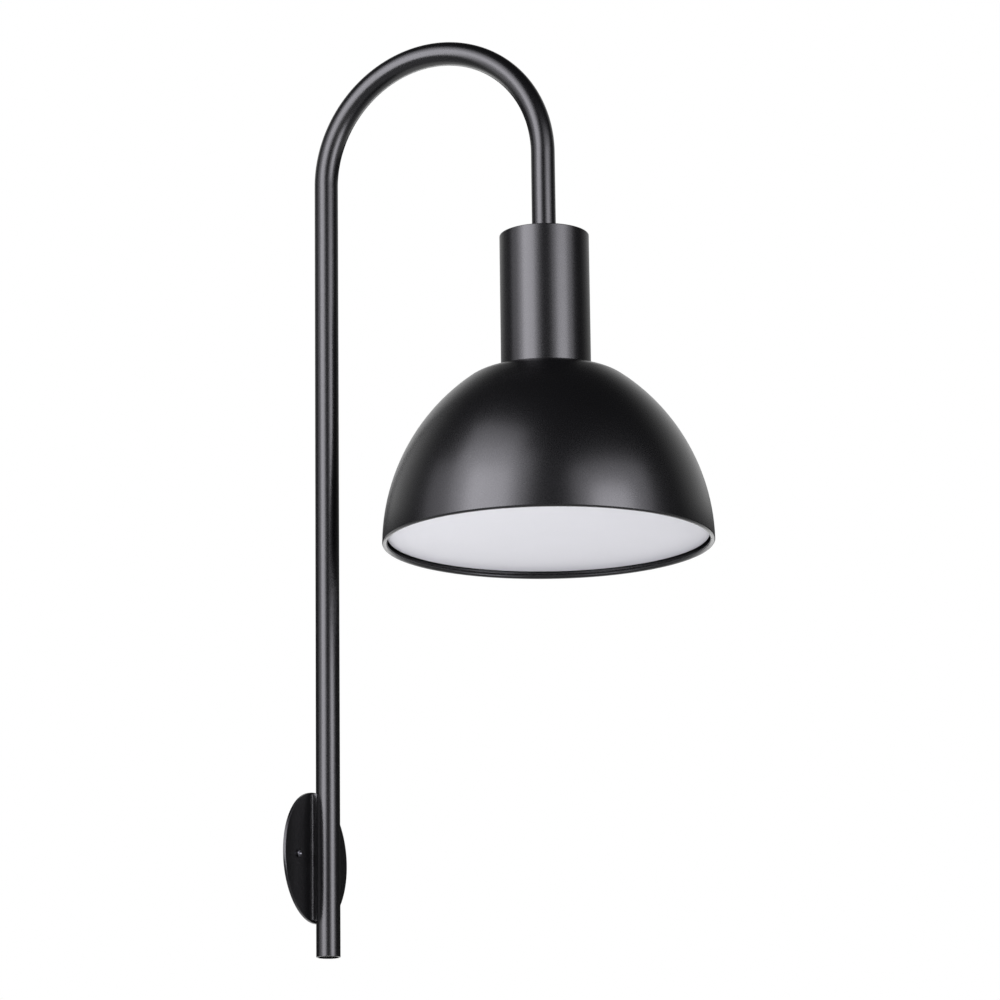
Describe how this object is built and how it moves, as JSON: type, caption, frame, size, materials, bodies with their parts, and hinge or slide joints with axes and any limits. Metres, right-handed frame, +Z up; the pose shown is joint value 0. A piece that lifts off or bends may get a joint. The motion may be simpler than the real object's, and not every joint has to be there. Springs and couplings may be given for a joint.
{
  "type": "wall light",
  "caption": "Wall light with a round wall plate, an arched tube, a plain cup and a round-topped shade whose mouth is closed by a recessed opal disc.",
  "frame": {"origin": "centre of the wall plate's back face, on the wall", "axes": "+Z up along the tube, +Y into the wall; the light reaches out from the wall along -Y"},
  "size_m": [0.3, 0.4073, 0.8515],
  "materials": {
    "black_coat": "satin powder coat",
    "black_screw": "satin",
    "opal_acrylic": "satin opal",
    "white_plastic": "satin",
    "zinc_steel": "zinc plated",
    "brass_parts": "plain",
    "tinned_copper": "tinned",
    "black_plastic": "satin",
    "holder_plastic": "moulded",
    "white_ceramic": "glazed",
    "block_plastic": "moulded",
    "grommet_rubber": "matte",
    "cable_sheath": "matte",
    "core_brown": "satin",
    "core_blue": "satin",
    "core_green": "satin",
    "lamp_cap_metal": "plated",
    "lamp_collar": "satin",
    "lamp_globe": "frosted"
  },
  "bodies": {
    "lamp": {"wall_plate": "black_coat", "tube_saddle": "black_coat", "arm_tube": "black_coat", "cup": "black_coat", "shade": "black_coat", "plate_screws": "black_screw", "diffuser_hooks": "zinc_steel", "pole_end_plug": "black_plastic", "crossbar": "zinc_steel", "earth_screw": "brass_parts", "earth_washer": "zinc_steel", "earth_terminal": "tinned_copper", "terminal_block": "block_plastic", "terminal_screws": "brass_parts", "block_screw": "zinc_steel", "cable_grommet": "grommet_rubber", "supply_cable": "cable_sheath", "lead_live": "core_brown", "lead_neutral": "core_blue", "lead_earth": "core_green", "holder_leads": "core_brown", "leg_insert": "zinc_steel", "top_rod": "zinc_steel", "top_washer": "zinc_steel", "top_nut": "zinc_steel", "cup_base": "zinc_steel", "shade_screws": "zinc_steel", "holder_rod": "zinc_steel", "holder_washer": "zinc_steel", "holder_nut": "zinc_steel", "holder_cap": "holder_plastic", "holder_skirt": "holder_plastic", "holder_insert": "white_ceramic", "holder_shell": "brass_parts", "holder_contact": "brass_parts", "bulb_cap": "lamp_cap_metal", "bulb_collar": "lamp_collar", "bulb_globe": "lamp_globe"},
    "disc": {"diffuser": "opal_acrylic", "diffuser_ring": "white_plastic"}
  },
  "joints": [
    {"name": "diffuser_turn", "type": "hinge", "parent": "lamp", "child": "disc", "pos_m": [0, -0.2393, 0.274], "axis": [0, 0, -1], "range_deg": [0, 18]}
  ]
}
